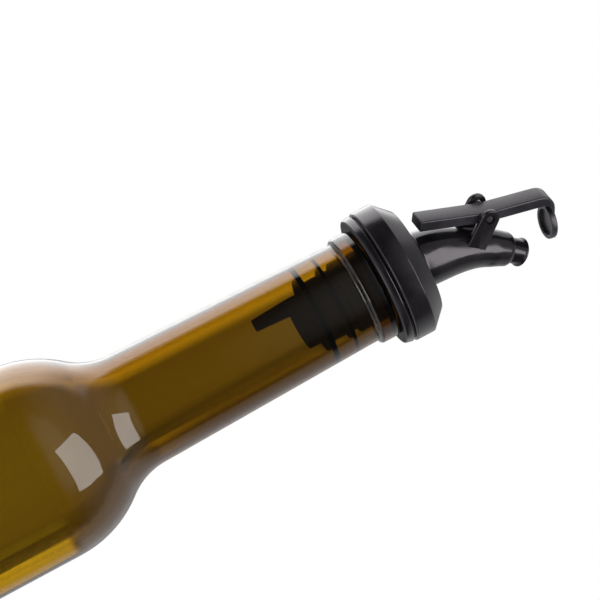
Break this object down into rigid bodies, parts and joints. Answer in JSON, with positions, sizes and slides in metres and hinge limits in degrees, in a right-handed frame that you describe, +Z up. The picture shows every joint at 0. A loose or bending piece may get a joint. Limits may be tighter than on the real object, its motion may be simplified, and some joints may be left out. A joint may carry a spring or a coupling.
{
  "type": "oil and vinegar bottle",
  "caption": "Slender amber-olive glass bottle with a long neck and a black plug-in pourer: finned stopper, chamfered cap, bent spout and a see-saw lever with a seal cup.",
  "frame": {"origin": "middle of the base, on the bottle's axis, at the surface it stands on", "axes": "+Z up along the bottle's axis, +X the way the spout leans, Y along the lever's pivot"},
  "size_m": [0.049, 0.049, 0.3004],
  "materials": {
    "bottle_glass": "polished amber-olive soda-lime glass",
    "stopper_plastic": "black soft moulded plastic",
    "pourer_plastic": "black moulded plastic, half gloss",
    "lever_plastic": "black moulded plastic, half gloss"
  },
  "bodies": {
    "bottle": {"bottle": "bottle_glass", "stopper": "stopper_plastic", "breather_tube": "stopper_plastic", "pourer": "pourer_plastic"},
    "lever": {"lever": "lever_plastic"}
  },
  "joints": [
    {"name": "lever_tilt", "type": "hinge", "parent": "bottle", "child": "lever", "pos_m": [-0.00375, 0, 0.28345], "axis": [0, 1, 0], "range_deg": [0, 29.7]}
  ]
}
